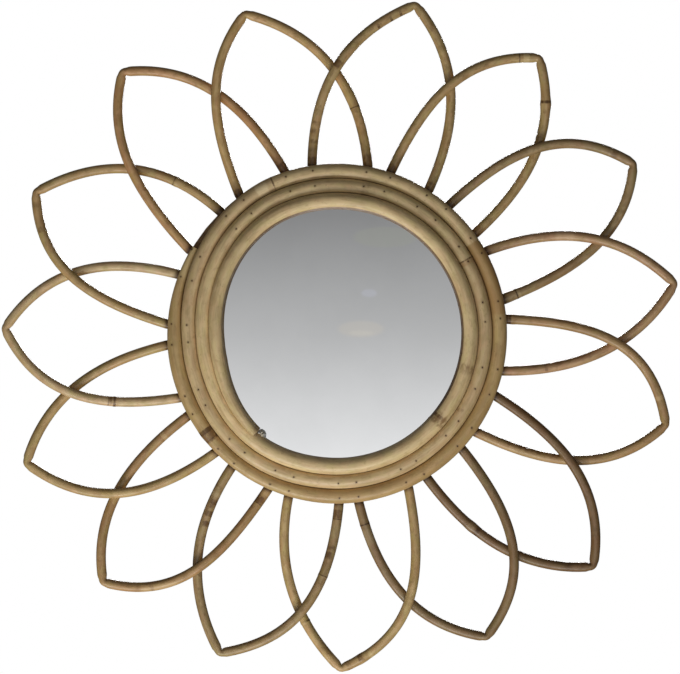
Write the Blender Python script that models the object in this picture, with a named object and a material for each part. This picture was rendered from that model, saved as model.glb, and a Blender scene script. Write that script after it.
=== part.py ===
"""Wall mirror: a coiled cane rim round a mirror glass, with fifteen folded cane petals.

The row's frame: metres, +Z up, the mirror faces -Y, and the origin is the middle of the
board's flat back, which lies on the wall. Depths are measured forward from the wall.
"""
import math
from dataclasses import dataclass

import bmesh
import bpy
from mathutils import Vector

# The gap kept between two pieces that touch
GAP = 0.0003

# Coil: one thick cane wound clockwise from its inner end, in turns that are round except
# where each one steps out to the next and where the inner end presses them outward. Turns
# from the inside out.
TURN_RADII = (0.1060, 0.11695, 0.1300, 0.1433)
TURN_CANE_R = (0.0060, 0.00705, 0.0067, 0.0069)
INNER_END_DEG = 231.0
OUTER_END_DEG = 149.0
STEP_FROM_DEG = 184.0
STEP_TO_DEG = 116.0
INNER_TAPER_DEG = 38.0
INNER_END_CANE_R = 0.0040
INNER_END_OUTWARD = 0.0045
INNER_END_FORWARD = 0.0022
OUTER_TAPER_DEG = 36.0
OUTER_END_CANE_R = 0.0028
OUTER_END_INWARD = 0.0008
PRESS_AT_DEG = 232.0
PRESS_HALF_DEG = 36.0
PRESS_OUT = 0.0018
COIL_SEGMENT_DEG = 9.0
COIL_SIDES = 10

# Petals: thinner canes, each folded at the tip, with both ends nailed under the coil
PETAL_CANE_R = 0.0043
FOLD_HALF_W = 0.0035
FOLD_INNER_R = 0.0003
BEHIND_DEPTH = 0.0050
ROOT_DEPTH = 0.0065
TIP_RADIUS = 0.3030
SHOULDER_RADIUS = 0.2578
WAIST_RADIUS = 0.2045
ROOT_RADIUS = 0.1511
UNDER_COIL_SWING = 0.1
LEG_RINGS = 11
FOLD_RINGS = 3
PETAL_SIDES = 8

# Glass, and the board with the riser that carries it
GLASS_T = 0.003
GLASS_UNDER_RIM = 0.0055
RISER_R = 0.124
RISER_TO_PETAL_END = 0.0045
BOARD_R = 0.1498
BOARD_T = 0.0018
BOARD_BEVEL = 0.0006
DISC_SIDES = 56

Y_AXIS = Vector((0.0, 1.0, 0.0))


@dataclass(frozen=True)
class Petal:
    """One petal: its tip's bearing, its length against the common one, and its two legs.

    Each leg's three angles are how far it has swung off the tip's bearing at the shoulder,
    waist and root radii.
    """

    tip_deg: float
    length: float
    left_deg: tuple
    right_deg: tuple


# Left is counter-clockwise as seen from the front. Clockwise round the mirror from the top.
PETALS = (
    Petal(106.2, 0.983, (7.9, 14.4, 19.1), (10.6, 20.1, 26.5)),
    Petal(76.8, 0.998, (9.7, 17.4, 21.8), (8.8, 15.4, 19.2)),
    Petal(53.9, 1.009, (9.7, 15.0, 17.9), (8.9, 14.7, 17.8)),
    Petal(30.0, 1.009, (10.8, 16.3, 19.0), (9.2, 14.6, 18.1)),
    Petal(8.6, 1.007, (9.4, 16.4, 20.5), (9.1, 16.2, 21.1)),
    Petal(344.7, 1.008, (12.1, 17.5, 20.3), (10.1, 16.1, 19.9)),
    Petal(317.9, 1.021, (10.6, 16.7, 20.8), (8.1, 13.2, 15.8)),
    Petal(296.4, 0.999, (11.2, 17.5, 21.0), (9.4, 15.7, 18.9)),
    Petal(270.8, 0.990, (12.2, 19.3, 24.2), (6.9, 13.7, 17.2)),
    Petal(250.0, 1.005, (11.3, 17.7, 20.8), (8.4, 14.9, 18.1)),
    Petal(226.9, 1.008, (10.5, 15.8, 19.3), (8.7, 14.4, 17.9)),
    Petal(202.8, 0.994, (10.4, 17.7, 21.7), (8.2, 14.7, 18.8)),
    Petal(179.3, 0.982, (10.5, 18.0, 23.0), (9.2, 16.2, 19.6)),
    Petal(155.0, 0.983, (10.2, 17.1, 21.9), (9.1, 17.4, 21.1)),
    Petal(129.5, 0.999, (8.6, 15.3, 21.0), (9.8, 16.8, 21.5)),
)


def smooth(t):
    """Ease from 0 to 1, flat at both ends."""
    t = min(max(t, 0.0), 1.0)
    return t * t * (3.0 - 2.0 * t)


def mix(a, b, t):
    return a + (b - a) * t


def step(t):
    """Ease from 0 to 1, steadier in the middle than smooth."""
    return mix(min(max(t, 0.0), 1.0), smooth(t), 0.5)


def polar(radius, degrees, depth=0.0):
    """A point at a bearing round the mirror's middle, as seen from the front."""
    angle = math.radians(degrees)
    return Vector((radius * math.cos(angle), -depth, radius * math.sin(angle)))


def turn_depths():
    """Centre depth of each turn: the outer one on the petals, each inner one nested on the next."""
    depths = [ROOT_DEPTH + PETAL_CANE_R + GAP + TURN_CANE_R[-1]]
    for i in range(len(TURN_RADII) - 2, -1, -1):
        reach = TURN_CANE_R[i] + TURN_CANE_R[i + 1] + GAP
        across = TURN_RADII[i + 1] - TURN_RADII[i]
        depths.insert(0, depths[0] + math.sqrt(max(reach * reach - across * across, 0.0)))
    return depths


TURN_DEPTHS = turn_depths()
COIL_LENGTH_DEG = INNER_END_DEG - OUTER_END_DEG + 360.0 * (len(TURN_RADII) - 1)


def coil_at(along):
    """Centre and cane radius of the coil, this many degrees along it from the inner end."""
    level = 0.0
    for turn in range(len(TURN_RADII) - 1):
        start = INNER_END_DEG - STEP_FROM_DEG + 360.0 * turn
        level += step((along - start) / (STEP_FROM_DEG - STEP_TO_DEG))
    low = min(int(level), len(TURN_RADII) - 2)
    share = level - low
    radius = mix(TURN_RADII[low], TURN_RADII[low + 1], share)
    depth = mix(TURN_DEPTHS[low], TURN_DEPTHS[low + 1], share)
    cane_r = mix(TURN_CANE_R[low], TURN_CANE_R[low + 1], share)
    inner = 1.0 - min(along / INNER_TAPER_DEG, 1.0)
    cane_r = mix(cane_r, INNER_END_CANE_R, inner)
    radius += INNER_END_OUTWARD * inner
    depth += INNER_END_FORWARD * inner
    bearing = INNER_END_DEG - along
    away = abs((bearing - PRESS_AT_DEG + 180.0) % 360.0 - 180.0)
    press = PRESS_OUT * smooth(1.0 - away / PRESS_HALF_DEG)
    squeezed = 0.5 * press * max(level - (len(TURN_RADII) - 2), 0.0)
    outer = 1.0 - min((COIL_LENGTH_DEG - along) / OUTER_TAPER_DEG, 1.0)
    shaved = squeezed + (cane_r - OUTER_END_CANE_R) * outer
    radius += press - 2.0 * squeezed + shaved - OUTER_END_INWARD * outer
    return polar(radius, bearing, depth - shaved), cane_r - shaved


def leg_curve(petal, side, apex):
    """Plan curve of one leg from the apex to the root, as a function of 0 to 1.

    It bows out from the chord and passes through the shoulder and the waist.
    """
    spread = petal.left_deg if side > 0 else petal.right_deg
    root = polar(ROOT_RADIUS, petal.tip_deg + side * spread[2])
    chord = root - apex
    across = Y_AXIS.cross(chord)
    rows = []
    for radius, angle in ((SHOULDER_RADIUS, spread[0]), (WAIST_RADIUS, spread[1])):
        off = polar(radius, petal.tip_deg + side * angle) - apex
        s = off.dot(chord) / chord.length_squared
        bow = off.dot(across) / chord.length_squared / (s * (1.0 - s))
        rows.append((s, bow))
    (s1, bow1), (s2, bow2) = rows

    def point(s):
        bow = bow1 * (bow2 / bow1) ** ((s - s1) / (s2 - s1))
        return apex + chord * s + across * (s * (1.0 - s) * bow)

    return point


def leg_points(curve, skip, count):
    """Evenly spaced points down a leg, leaving out the length next to the fold."""
    fine = [curve(i / 200.0) for i in range(201)]
    run = [0.0]
    for a, b in zip(fine, fine[1:]):
        run.append(run[-1] + (b - a).length)
    points = []
    i = 0
    for k in range(count):
        target = mix(skip, run[-1], k / (count - 1.0))
        while i < 199 and run[i + 1] < target:
            i += 1
        share = (target - run[i]) / (run[i + 1] - run[i])
        points.append(fine[i].lerp(fine[i + 1], share))
    return points


def petal_apex(petal):
    """Where the two legs' lines meet, from the reach over the folded cane's outside."""
    fold_r = FOLD_HALF_W + FOLD_INNER_R
    tip_radius = TIP_RADIUS * petal.length - FOLD_HALF_W
    apex = polar(tip_radius, petal.tip_deg)
    for _ in range(3):
        ways = [(leg_curve(petal, side, apex)(0.02) - apex).normalized() for side in (1, -1)]
        half = ways[0].angle(ways[1]) / 2.0
        apex = polar(tip_radius + fold_r * (1.0 / math.sin(half) - 1.0), petal.tip_deg)
    return apex


def petal_plan(petal):
    """Points in plan of the left leg, the fold and the right leg, each from its own start."""
    fold_r = FOLD_HALF_W + FOLD_INNER_R
    apex = petal_apex(petal)
    curves = [leg_curve(petal, side, apex) for side in (1, -1)]
    ways = [(curve(0.02) - apex).normalized() for curve in curves]
    half = ways[0].angle(ways[1]) / 2.0
    middle = apex + (ways[0] + ways[1]).normalized() * (fold_r / math.sin(half))
    legs = [leg_points(curve, fold_r / math.tan(half), LEG_RINGS) for curve in curves]
    starts = [points[0] - middle for points in legs]
    fold = []
    for k in range(1, FOLD_RINGS + 1):
        arm = starts[0].lerp(starts[1], k / (FOLD_RINGS + 1.0))
        fold.append(middle + arm.normalized() * fold_r)
    for points, side in zip(legs, (1, -1)):
        spread = petal.left_deg if side > 0 else petal.right_deg
        end = petal.tip_deg + side * (spread[2] + UNDER_COIL_SWING * (spread[2] - spread[1]))
        points.append(polar(RISER_R + RISER_TO_PETAL_END, end))
    return legs[0], fold, legs[1]


def crossing_radius(leg_a, leg_b):
    """How far from the middle two legs cross, in plan."""
    best = None
    for a, b in zip(leg_a, leg_a[1:]):
        for c, d in zip(leg_b, leg_b[1:]):
            run_a, run_b, off = b - a, d - c, c - a
            area = run_a.x * run_b.z - run_a.z * run_b.x
            if abs(area) < 1e-12:
                continue
            s = (off.x * run_b.z - off.z * run_b.x) / area
            t = (off.x * run_a.z - off.z * run_a.x) / area
            if -0.01 <= s <= 1.01 and -0.01 <= t <= 1.01:
                best = (a + run_a * s).length
    return best


def leg_depth(radius, crossing, cross_depth, tip_depth, tip_radius):
    """Centre depth of a leg: level under the coil, past its crossing, and on to the tip."""
    if radius < crossing:
        return mix(ROOT_DEPTH, cross_depth, smooth((radius - ROOT_RADIUS) / (crossing - ROOT_RADIUS)))
    return mix(cross_depth, tip_depth, smooth((radius - crossing) / (tip_radius - crossing)))


def build_tube(name, centres, widths, radii, sides, material):
    """One closed cane through the centres, with flat cut ends.

    Widths are half widths across the mirror's plane, radii are out of it.
    """
    mesh = bmesh.new()
    rings = []
    for i, (centre, width, radius) in enumerate(zip(centres, widths, radii)):
        ahead = centres[min(i + 1, len(centres) - 1)]
        behind = centres[max(i - 1, 0)]
        along = (ahead - behind).normalized()
        side = along.cross(Y_AXIS).normalized()
        front = side.cross(along)
        ring = []
        for k in range(sides):
            angle = 2.0 * math.pi * k / sides
            off = side * (math.cos(angle) * width) + front * (math.sin(angle) * radius)
            ring.append(mesh.verts.new(centre + off))
        rings.append(ring)
    for ring, after in zip(rings, rings[1:]):
        for k in range(sides):
            m = (k + 1) % sides
            mesh.faces.new((ring[k], ring[m], after[m], after[k]))
    mesh.faces.new(rings[0])
    mesh.faces.new(rings[-1])
    return finish(name, mesh, material)


def build_disc(name, profile, material):
    """A round plate with this profile of radii and depths, from the back to the front."""
    mesh = bmesh.new()
    rings = []
    for ring_r, depth in profile:
        rings.append([mesh.verts.new(polar(ring_r, 360.0 * k / DISC_SIDES, depth)) for k in range(DISC_SIDES)])
    for ring, after in zip(rings, rings[1:]):
        for k in range(DISC_SIDES):
            m = (k + 1) % DISC_SIDES
            mesh.faces.new((ring[k], ring[m], after[m], after[k]))
    mesh.faces.new(rings[0])
    mesh.faces.new(rings[-1])
    return finish(name, mesh, material)


def finish(name, mesh, material):
    """Turn the faces outward and make the object."""
    bmesh.ops.recalc_face_normals(mesh, faces=mesh.faces[:])
    data = bpy.data.meshes.new(name)
    mesh.to_mesh(data)
    mesh.free()
    data.materials.append(material)
    obj = bpy.data.objects.new(name, data)
    bpy.context.scene.collection.objects.link(obj)
    return obj


def make_material(name, color, roughness, metallic=0.0):
    material = bpy.data.materials.new(name)
    material.use_nodes = True
    shader = material.node_tree.nodes["Principled BSDF"]
    shader.inputs["Base Color"].default_value = (*color, 1.0)
    shader.inputs["Roughness"].default_value = roughness
    shader.inputs["Metallic"].default_value = metallic
    return material


def build_coil():
    count = int(round(COIL_LENGTH_DEG / COIL_SEGMENT_DEG))
    samples = [coil_at(COIL_LENGTH_DEG * i / count) for i in range(count + 1)]
    material = make_material("coiled_ring", (0.55, 0.42, 0.25), 0.45)
    radii = [s[1] for s in samples]
    build_tube("coiled_ring", [s[0] for s in samples], radii, radii, COIL_SIDES, material)


def build_petals():
    plans = [petal_plan(petal) for petal in PETALS]
    front_depth = BEHIND_DEPTH + 2.0 * PETAL_CANE_R + GAP
    tip_depth = (BEHIND_DEPTH + front_depth) / 2.0
    crossings = []
    for i, plan in enumerate(plans):
        crossings.append(crossing_radius(plan[0], plans[i - 1][2]))
    for i, (petal, (left, fold, right)) in enumerate(zip(PETALS, plans)):
        tip_radius = left[0].length
        centres = []
        for point in reversed(left):
            centres.append((point, crossings[i], front_depth))
        for point in fold:
            centres.append((point, tip_radius / 2.0, tip_depth))
        for point in right:
            centres.append((point, crossings[(i + 1) % len(PETALS)], BEHIND_DEPTH))
        path = []
        for point, crossing, cross_depth in centres:
            depth = leg_depth(point.length, crossing, cross_depth, tip_depth, tip_radius)
            path.append(point - Y_AXIS * depth)
        name = "petal_%02d" % (i + 1)
        material = make_material(name, (0.36, 0.25, 0.13), 0.5)
        radii = [PETAL_CANE_R] * len(path)
        widths = [PETAL_CANE_R] * len(path)
        widths[len(left):len(left) + len(fold)] = [FOLD_HALF_W] * len(fold)
        widths[len(left) - 1] = (FOLD_HALF_W + PETAL_CANE_R) / 2.0
        widths[len(left) + len(fold)] = widths[len(left) - 1]
        build_tube(name, path, widths, radii, PETAL_SIDES, material)


def build_glass_and_board():
    glass_front = TURN_DEPTHS[1] - TURN_CANE_R[1] - GAP
    glass_back = glass_front - GLASS_T
    glass = make_material("mirror_glass", (0.9, 0.9, 0.9), 0.03, 1.0)
    glass_r = TURN_RADII[1] - TURN_CANE_R[1] + GLASS_UNDER_RIM
    build_disc("mirror_glass", ((glass_r, glass_back), (glass_r, glass_front)), glass)
    board = make_material("backing_board", (0.42, 0.31, 0.20), 0.8)
    rim = ((BOARD_R - BOARD_BEVEL, 0.0), (BOARD_R, BOARD_BEVEL), (BOARD_R, BOARD_T))
    riser = ((RISER_R, BOARD_T), (RISER_R, glass_back - GAP))
    build_disc("backing_board", rim + riser, board)


def main():
    for obj in list(bpy.data.objects):
        bpy.data.objects.remove(obj, do_unlink=True)
    build_coil()
    build_petals()
    build_glass_and_board()


main()
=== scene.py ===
"""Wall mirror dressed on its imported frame: cane coil, folded cane petals, glass, board, nails and glue.

Everything is in metres in the frame of the part: +Z up, the mirror faces -Y, and the origin is
the middle of the board's flat back. Depths are measured forward from the wall.
"""

import logging
import math
import random
from dataclasses import dataclass, field
from enum import Enum
from typing import Callable, Optional

import bmesh
import bpy
from mathutils import Matrix, Vector, noise
from mathutils.kdtree import KDTree

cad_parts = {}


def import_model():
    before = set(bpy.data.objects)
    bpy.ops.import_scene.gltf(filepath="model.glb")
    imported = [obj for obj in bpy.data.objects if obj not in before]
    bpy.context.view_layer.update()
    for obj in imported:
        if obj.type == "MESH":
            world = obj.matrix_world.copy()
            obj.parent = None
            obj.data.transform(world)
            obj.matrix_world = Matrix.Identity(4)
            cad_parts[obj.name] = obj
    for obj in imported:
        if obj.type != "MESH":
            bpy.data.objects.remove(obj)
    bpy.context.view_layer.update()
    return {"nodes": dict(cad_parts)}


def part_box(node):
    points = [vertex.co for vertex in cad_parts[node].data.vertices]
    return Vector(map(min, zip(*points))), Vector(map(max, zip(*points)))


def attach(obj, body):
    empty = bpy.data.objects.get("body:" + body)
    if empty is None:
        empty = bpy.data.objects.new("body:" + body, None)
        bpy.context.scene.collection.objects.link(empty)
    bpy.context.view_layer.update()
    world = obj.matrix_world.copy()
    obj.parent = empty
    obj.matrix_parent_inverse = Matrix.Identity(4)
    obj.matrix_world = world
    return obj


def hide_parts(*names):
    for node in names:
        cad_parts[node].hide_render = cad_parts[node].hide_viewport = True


LOG = logging.getLogger("wall_mirror")
Y_AXIS = Vector((0.0, 1.0, 0.0))
PHOTO_STEP = 0.0008889  # metres in one photo step, the unit of the petals' marks
Rgb = tuple[float, float, float]
Socket = bpy.types.NodeSocket


def smooth(t: float) -> float:
    """Ease from 0 to 1, flat at both ends."""
    t = min(max(t, 0.0), 1.0)
    return t * t * (3.0 - 2.0 * t)


def mix(a: float, b: float, t: float) -> float:
    """The value a share t of the way from a to b."""
    return a + (b - a) * t


def step(t: float) -> float:
    """Ease from 0 to 1, steadier in the middle than smooth."""
    return mix(min(max(t, 0.0), 1.0), smooth(t), 0.5)


def polar(radius: float, degrees: float, depth: float = 0.0) -> Vector:
    """A point at a bearing round the mirror's middle, as seen from the front.

    Args:
        radius: distance from the middle.
        degrees: bearing, counter-clockwise from the right.
        depth: distance forward from the wall.

    Returns:
        The point in the frame of the part.
    """
    angle = math.radians(degrees)
    return Vector((radius * math.cos(angle), -depth, radius * math.sin(angle)))


def flat(point: Vector) -> float:
    """Distance of a point from the mirror's middle, seen from the front."""
    return Vector((point.x, point.z)).length


def linear(color: Rgb) -> Rgb:
    """A colour of 0 to 255 steps as the linear values that a shader takes."""
    parts = []
    for value in color:
        share = value / 255.0
        parts.append(share / 12.92 if share <= 0.04045 else ((share + 0.055) / 1.055) ** 2.4)
    return parts[0], parts[1], parts[2]


class Tone(Enum):
    """Skin colours of the canes, as 0 to 255 steps."""

    WHEAT = (228, 203, 153)
    PALE = (214, 188, 142)
    HONEY = (210, 176, 120)
    SAND = (198, 170, 118)
    ROSY = (194, 158, 117)
    BISCUIT = (204, 163, 113)
    TAN = (184, 151, 104)
    STRAW = (171, 146, 104)
    DUN = (148, 124, 88)
    UMBER = (134, 107, 73)


class MarkKind(Enum):
    """What a mark on a cane is, by the channel of the marks attribute that it goes in."""

    NODE = 0
    STAIN = 1
    PALE = 2
    RED = 3


@dataclass(frozen=True)
class Mark:
    """One mark along a cane.

    Args:
        kind: what it is.
        at: where its middle is along the cane, in metres.
        half: half its length along the cane, in metres.
        strength: how strong it is, 0 to 1.
        around: the side that it is on, as an angle round the cane, or None for all round.
        fade: share of the half length over which it fades out.
    """

    kind: MarkKind
    at: float
    half: float
    strength: float = 1.0
    around: Optional[float] = None
    fade: float = 0.5

    def level(self, along: float, angle: float) -> float:
        """How strong the mark is at a place on the cane, 0 to 1."""
        off = abs(along - self.at) / self.half
        value = self.strength * smooth((1.0 - off) / self.fade)
        if self.around is not None:
            value *= smooth(0.5 + 0.75 * math.cos(angle - math.radians(self.around)))
        return value


@dataclass(frozen=True)
class Ridge:
    """The raised ring at a cane's node, with the cane's change of thickness past it."""

    at: float
    height: float = 0.00025
    half: float = 0.0016

    def lift(self, along: float) -> float:
        """Extra radius at a place along the cane."""
        return self.height * math.exp(-(((along - self.at) / self.half) ** 2))


@dataclass
class Nodes:
    """A short way to write a material's node tree."""

    material: bpy.types.Material
    tree: bpy.types.NodeTree = field(init=False)

    def __post_init__(self) -> None:
        """Empty the tree and put the shader in."""
        self.material.use_nodes = True
        self.tree = self.material.node_tree
        self.tree.nodes.clear()
        self.output = self.tree.nodes.new("ShaderNodeOutputMaterial")
        self.shader = self.tree.nodes.new("ShaderNodeBsdfPrincipled")
        self.tree.links.new(self.shader.outputs[0], self.output.inputs["Surface"])

    def link(self, source: Socket, target: Socket) -> None:
        """Join two sockets."""
        self.tree.links.new(source, target)

    def attribute(self, name: str, output: str) -> Socket:
        """An output of a mesh attribute."""
        node = self.tree.nodes.new("ShaderNodeAttribute")
        node.attribute_name = name
        return node.outputs[output]

    def object_coordinates(self) -> Socket:
        """The place on the object, in metres."""
        return self.tree.nodes.new("ShaderNodeTexCoord").outputs["Object"]

    def stretch(self, vector: Socket, scale: tuple[float, float, float]) -> Socket:
        """A vector with each part scaled."""
        node = self.tree.nodes.new("ShaderNodeMapping")
        node.vector_type = "POINT"
        node.inputs["Scale"].default_value = scale
        self.link(vector, node.inputs["Vector"])
        return node.outputs["Vector"]

    def noise(self, vector: Socket, detail: float = 3.0, rough: float = 0.55, bend: float = 0.0) -> Socket:
        """Cloudy noise of unit scale on a vector."""
        node = self.tree.nodes.new("ShaderNodeTexNoise")
        node.inputs["Scale"].default_value = 1.0
        node.inputs["Detail"].default_value = detail
        node.inputs["Roughness"].default_value = rough
        node.inputs["Distortion"].default_value = bend
        self.link(vector, node.inputs["Vector"])
        return node.outputs["Fac"]

    def remap(self, value: Socket, low: float, high: float,
              to_low: float = 0.0, to_high: float = 1.0) -> Socket:
        """A value spread smoothly from one range to another, and held at its ends."""
        node = self.tree.nodes.new("ShaderNodeMapRange")
        node.interpolation_type = "SMOOTHSTEP"
        node.inputs["From Min"].default_value = low
        node.inputs["From Max"].default_value = high
        node.inputs["To Min"].default_value = to_low
        node.inputs["To Max"].default_value = to_high
        self.link(value, node.inputs["Value"])
        return node.outputs["Result"]

    def math(self, operation: str, a: Socket, b: "Socket | float") -> Socket:
        """Two values put together."""
        node = self.tree.nodes.new("ShaderNodeMath")
        node.operation = operation
        self.link(a, node.inputs[0])
        if isinstance(b, float):
            node.inputs[1].default_value = b
        else:
            self.link(b, node.inputs[1])
        return node.outputs[0]

    def blend(self, factor: Socket, a: "Socket | Rgb", b: "Socket | Rgb") -> Socket:
        """Two colours mixed by a factor."""
        node = self.tree.nodes.new("ShaderNodeMix")
        node.data_type = "RGBA"
        node.clamp_factor = True
        self.link(factor, node.inputs["Factor"])
        for color, socket in ((a, node.inputs["A"]), (b, node.inputs["B"])):
            socket = [s for s in node.inputs if s.type == "RGBA" and s.name == socket.name][0]
            if isinstance(color, tuple):
                socket.default_value = (*color, 1.0)
            else:
                self.link(color, socket)
        return [s for s in node.outputs if s.type == "RGBA"][0]

    def tinted(self, color: Socket, tint: Socket) -> Socket:
        """A colour times a tint."""
        node = self.tree.nodes.new("ShaderNodeVectorMath")
        node.operation = "MULTIPLY"
        self.link(color, node.inputs[0])
        self.link(tint, node.inputs[1])
        return node.outputs[0]

    def bump(self, height: Socket, distance: float, strength: float = 1.0) -> None:
        """Raise the surface by a height."""
        node = self.tree.nodes.new("ShaderNodeBump")
        node.inputs["Distance"].default_value = distance
        node.inputs["Strength"].default_value = strength
        self.link(height, node.inputs["Height"])
        self.link(node.outputs["Normal"], self.shader.inputs["Normal"])


@dataclass(frozen=True)
class CaneFinish:
    """The skin of a peeled cane: streaks, mottling, fine fibres, and the marks on it.

    The pattern is a share of the tone that the mesh carries.

    Args:
        mottle: how strong the brown mottling is, 0 to 1.
        blush: how strong the reddish-brown stretches are, 0 to 1.
        patches: how strong the olive, pink, pale and dark patches are, 0 to 1.
    """

    mottle: float = 0.5
    blush: float = 0.25
    patches: float = 0.75

    def material(self, name: str) -> bpy.types.Material:
        """Make the skin's material."""
        nodes = Nodes(bpy.data.materials.new(name))
        cane = nodes.attribute("cane", "Vector")
        marks = nodes.attribute("marks", "Color")
        split = nodes.tree.nodes.new("ShaderNodeSeparateColor")
        nodes.link(marks, split.inputs[0])
        red = nodes.attribute("marks", "Alpha")
        drift = nodes.noise(nodes.stretch(cane, (26.0, 150.0, 150.0)), 1.5)
        streak = nodes.noise(nodes.stretch(cane, (50.0, 620.0, 620.0)), 2.0, 0.5)
        mottle = nodes.noise(nodes.stretch(cane, (190.0, 330.0, 330.0)), 2.0, 0.5, 0.4)
        fibre = nodes.noise(nodes.stretch(cane, (120.0, 2600.0, 2600.0)), 1.0)
        fleck = nodes.noise(nodes.stretch(cane, (380.0, 700.0, 700.0)), 1.0)
        hue = nodes.noise(nodes.stretch(cane, (80.0, 170.0, 170.0)), 1.0, 0.5, 0.3)
        blush = nodes.noise(nodes.stretch(cane, (40.0, 120.0, 120.0)), 1.0)
        patch = nodes.noise(nodes.stretch(cane, (115.0, 140.0, 140.0)), 1.0, 0.4, 0.2)

        color = nodes.blend(nodes.remap(drift, 0.36, 0.64), (0.84, 0.81, 0.77), (1.14, 1.13, 1.10))
        color = nodes.blend(nodes.remap(hue, 0.50, 0.66, 0.0, self.patches), color, (0.96, 1.03, 0.80))
        color = nodes.blend(nodes.remap(hue, 0.50, 0.34, 0.0, self.patches), color, (1.10, 0.95, 0.97))
        color = nodes.blend(nodes.remap(patch, 0.52, 0.68, 0.0, self.patches * 0.75), color, (1.20, 1.20, 1.26))
        color = nodes.blend(nodes.remap(patch, 0.48, 0.30, 0.0, self.patches * 0.75), color, (0.78, 0.71, 0.64))
        color = nodes.blend(nodes.remap(streak, 0.42, 0.72, 0.0, 0.45), color, (1.16, 1.18, 1.22))
        color = nodes.blend(nodes.remap(streak, 0.46, 0.26, 0.0, 0.45), color, (0.72, 0.66, 0.58))
        color = nodes.blend(nodes.remap(mottle, 0.52, 0.74, 0.0, self.mottle), color, (0.55, 0.46, 0.36))
        color = nodes.blend(nodes.remap(blush, 0.48, 0.66, 0.0, self.blush), color, (0.92, 0.70, 0.58))
        color = nodes.blend(nodes.remap(fibre, 0.5, 0.8, 0.0, 0.15), color, (0.66, 0.60, 0.52))
        color = nodes.blend(nodes.remap(fleck, 0.70, 0.80, 0.0, 0.40), color, (0.40, 0.31, 0.24))

        cloud = nodes.remap(mottle, 0.32, 0.68, 0.50, 1.30)
        lines = nodes.remap(streak, 0.30, 0.70, 0.60, 1.25)
        pale = nodes.math("MULTIPLY", split.outputs["Blue"], lines)
        color = nodes.blend(nodes.remap(pale, 0.05, 0.85, 0.0, 0.85), color, (1.34, 1.42, 1.52))
        flush = nodes.math("MULTIPLY", red, lines)
        color = nodes.blend(nodes.remap(flush, 0.0, 1.0, 0.0, 0.85), color, (0.84, 0.66, 0.53))
        stain = nodes.math("MULTIPLY", split.outputs["Green"], cloud)
        color = nodes.blend(nodes.remap(stain, 0.0, 1.0, 0.0, 0.90), color, (0.38, 0.28, 0.22))
        knot = nodes.math("MULTIPLY", split.outputs["Red"], lines)
        color = nodes.blend(nodes.remap(knot, 0.1, 0.8, 0.0, 0.92), color, (0.22, 0.15, 0.11))
        # Painted shade and stains: the skin goes towards dark brown where shade falls. That is in the crevices
        # between the coil's turns, along its inner edge, and at the petals' roots beside the coil, which also carry
        # some real stain. Round the nails the stains are real.
        shade_and_stain_mask = nodes.remap(nodes.attribute("painted_shade_and_stain", "Fac"), 0.12, 0.85, 0.0, 0.95)
        color = nodes.blend(shade_and_stain_mask, color, (0.20, 0.13, 0.07))
        color = nodes.tinted(color, nodes.attribute("tone", "Color"))
        nodes.link(color, nodes.shader.inputs["Base Color"])
        rough = nodes.remap(mottle, 0.3, 0.7, 0.32, 0.46)
        nodes.link(rough, nodes.shader.inputs["Roughness"])
        height = nodes.math("ADD", nodes.math("MULTIPLY", streak, 0.6), nodes.math("MULTIPLY", mottle, 0.6))
        nodes.bump(nodes.math("ADD", height, nodes.math("MULTIPLY", fibre, 0.15)), 0.00030, 0.35)
        return nodes.material


@dataclass(frozen=True)
class GlassFinish:
    """Silvered glass with a grey tint and a faint haze."""

    tint: Rgb = (0.93, 0.94, 0.95)

    def material(self, name: str) -> bpy.types.Material:
        """Make the mirror's material."""
        nodes = Nodes(bpy.data.materials.new(name))
        nodes.shader.inputs["Metallic"].default_value = 1.0
        haze = nodes.noise(nodes.stretch(nodes.object_coordinates(), (16.0, 16.0, 16.0)), 4.0)
        dim = (self.tint[0] * 0.97, self.tint[1] * 0.97, self.tint[2] * 0.97)
        color = nodes.blend(nodes.remap(haze, 0.35, 0.65), self.tint, dim)
        nodes.link(color, nodes.shader.inputs["Base Color"])
        nodes.link(nodes.remap(haze, 0.3, 0.7, 0.012, 0.022), nodes.shader.inputs["Roughness"])
        return nodes.material


@dataclass(frozen=True)
class BoardFinish:
    """A plain sanded plywood back with a straight grain."""

    light: Rgb = (176, 143, 102)
    dark: Rgb = (136, 104, 68)

    def material(self, name: str) -> bpy.types.Material:
        """Make the board's material."""
        nodes = Nodes(bpy.data.materials.new(name))
        place = nodes.object_coordinates()
        grain = nodes.noise(nodes.stretch(place, (10.0, 160.0, 190.0)), 5.0, 0.6, 0.6)
        pores = nodes.noise(nodes.stretch(place, (60.0, 900.0, 1400.0)), 2.0)
        plies = nodes.noise(nodes.stretch(place, (3.0, 420.0, 3.0)), 1.0)
        color = nodes.blend(nodes.remap(grain, 0.35, 0.65), linear(self.dark), linear(self.light))
        color = nodes.blend(nodes.remap(pores, 0.58, 0.74, 0.0, 0.5), color, linear((96, 70, 44)))
        color = nodes.blend(nodes.remap(plies, 0.45, 0.6, 0.0, 0.25), color, linear((112, 84, 54)))
        nodes.link(color, nodes.shader.inputs["Base Color"])
        nodes.link(nodes.remap(grain, 0.3, 0.7, 0.62, 0.80), nodes.shader.inputs["Roughness"])
        nodes.bump(nodes.math("ADD", grain, nodes.math("MULTIPLY", pores, 0.5)), 0.0004, 0.35)
        return nodes.material


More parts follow.
